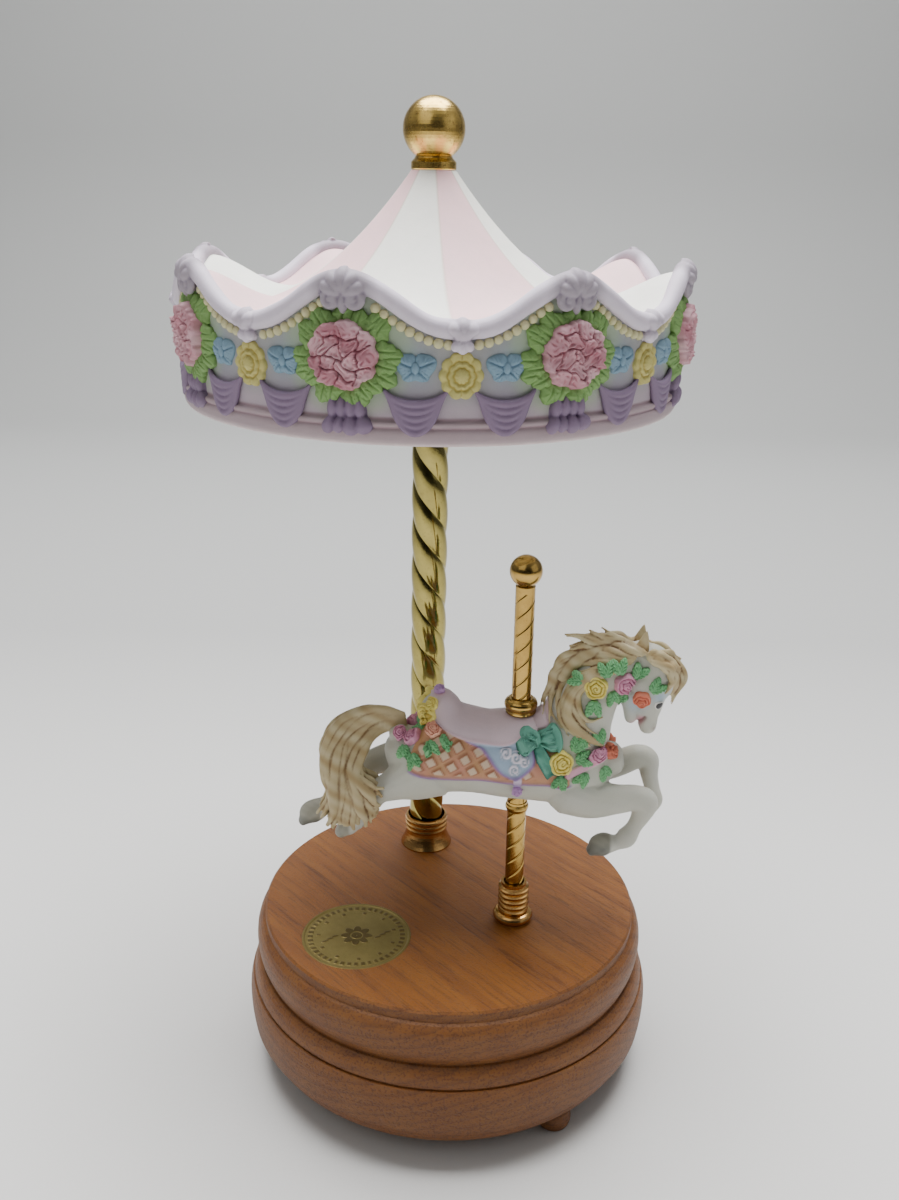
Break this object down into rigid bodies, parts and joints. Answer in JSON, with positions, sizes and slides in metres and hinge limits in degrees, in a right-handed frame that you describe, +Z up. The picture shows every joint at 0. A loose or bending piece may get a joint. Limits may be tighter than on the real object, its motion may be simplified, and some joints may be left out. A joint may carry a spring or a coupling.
{
  "type": "carousel music box",
  "caption": "Musical carousel on a turned oak base: a rope-twist brass pole turns a scalloped ceramic canopy, and a ceramic horse rides up and down on a slim pole.",
  "frame": {"origin": "on the base's turning axis at the level of the table under the feet", "axes": "+Z up, +X the way the horse faces, -Y the front that shows the horse's right side"},
  "size_m": [0.1672, 0.1903, 0.3228],
  "materials": {
    "oak": "satin varnish over open-pored oak",
    "hardboard": "plain hardboard",
    "polished_brass": "polished, lacquered",
    "medallion_brass": "antique struck brass",
    "screw_brass": "plain",
    "key_brass": "tumbled",
    "movement_brass": "machined",
    "movement_steel": "ground",
    "movement_iron": "as cast",
    "cam_plastic": "moulded",
    "felt": "felt",
    "bisque_canopy": "painted bisque, unglazed",
    "bisque_horse": "painted bisque, unglazed"
  },
  "bodies": {
    "base": {"base_body": "oak", "bottom_cover": "hardboard", "cover_screws": "screw_brass", "foot_1": "oak", "foot_2": "oak", "foot_3": "oak", "medallion": "medallion_brass", "pole_collar": "polished_brass", "horse_collar": "polished_brass", "pole_bushing": "movement_brass", "horse_bushing": "movement_brass", "spindle_bushing": "movement_brass", "thrust_post": "movement_brass", "guide_pin": "movement_steel", "bedplate": "movement_steel", "movement_screws": "movement_steel", "comb": "movement_steel", "comb_block": "movement_iron", "comb_screws": "screw_brass", "cylinder_brackets": "movement_brass", "governor_frame": "movement_brass", "ratchet_click": "movement_steel"},
    "canopy": {"twisted_pole": "polished_brass", "pole_shaft": "movement_steel", "canopy_gear": "movement_brass", "canopy": "bisque_canopy", "canopy_washer": "felt", "canopy_stud": "movement_steel", "finial": "polished_brass"},
    "drive": {"spring_barrel": "movement_brass", "mainspring": "movement_steel", "spindle": "movement_steel", "drive_gear": "movement_brass"},
    "cylinder": {"music_cylinder": "movement_brass", "cylinder_wheels": "movement_brass"},
    "governor": {"governor_worm": "movement_steel", "governor_fan": "movement_brass"},
    "winding": {"winding_key": "key_brass", "winding_arbor": "movement_steel", "ratchet_wheel": "movement_steel"},
    "cam": {"lift_cam": "cam_plastic"},
    "horse": {"horse": "bisque_horse", "horse_pole": "polished_brass", "horse_ball": "polished_brass", "saddle_collar": "polished_brass", "belly_collar": "polished_brass", "guide_arm": "movement_steel", "follower_shoe": "movement_steel"}
  },
  "joints": [
    {"name": "canopy_turn", "type": "hinge", "parent": "base", "child": "canopy", "pos_m": [-0.0092, 0.03584, 0.057], "axis": [0, 0, 1], "continuous": true},
    {"name": "drive_turn", "type": "hinge", "parent": "base", "child": "drive", "pos_m": [0, 0, 0.03], "axis": [0, 0, 1], "continuous": true},
    {"name": "cylinder_turn", "type": "hinge", "parent": "base", "child": "cylinder", "pos_m": [0.004, -0.0188, 0.0209], "axis": [1, 0, 0], "continuous": true},
    {"name": "governor_spin", "type": "hinge", "parent": "base", "child": "governor", "pos_m": [0.0198, -0.0266, 0.02], "axis": [0, 0, 1], "continuous": true},
    {"name": "key_wind", "type": "hinge", "parent": "base", "child": "winding", "pos_m": [0, 0, 0.01], "axis": [0, 0, 1], "continuous": true},
    {"name": "horse_lift", "type": "slide", "parent": "base", "child": "horse", "axis": [0, 0, 1], "range_m": [0, 0.01]},
    {"name": "cam_turn", "type": "hinge", "parent": "base", "child": "cam", "pos_m": [0, 0, 0.034], "axis": [0, 0, 1], "range_deg": [0, 180.01]}
  ],
  "couplings": [
    {"joint": "drive_turn", "follows": "canopy_turn", "ratio": -0.48},
    {"joint": "cylinder_turn", "follows": "canopy_turn", "ratio": 2},
    {"joint": "governor_spin", "follows": "canopy_turn", "ratio": 60},
    {"joint": "cam_turn", "follows": "horse_lift", "rad_per_m": 314.16}
  ]
}
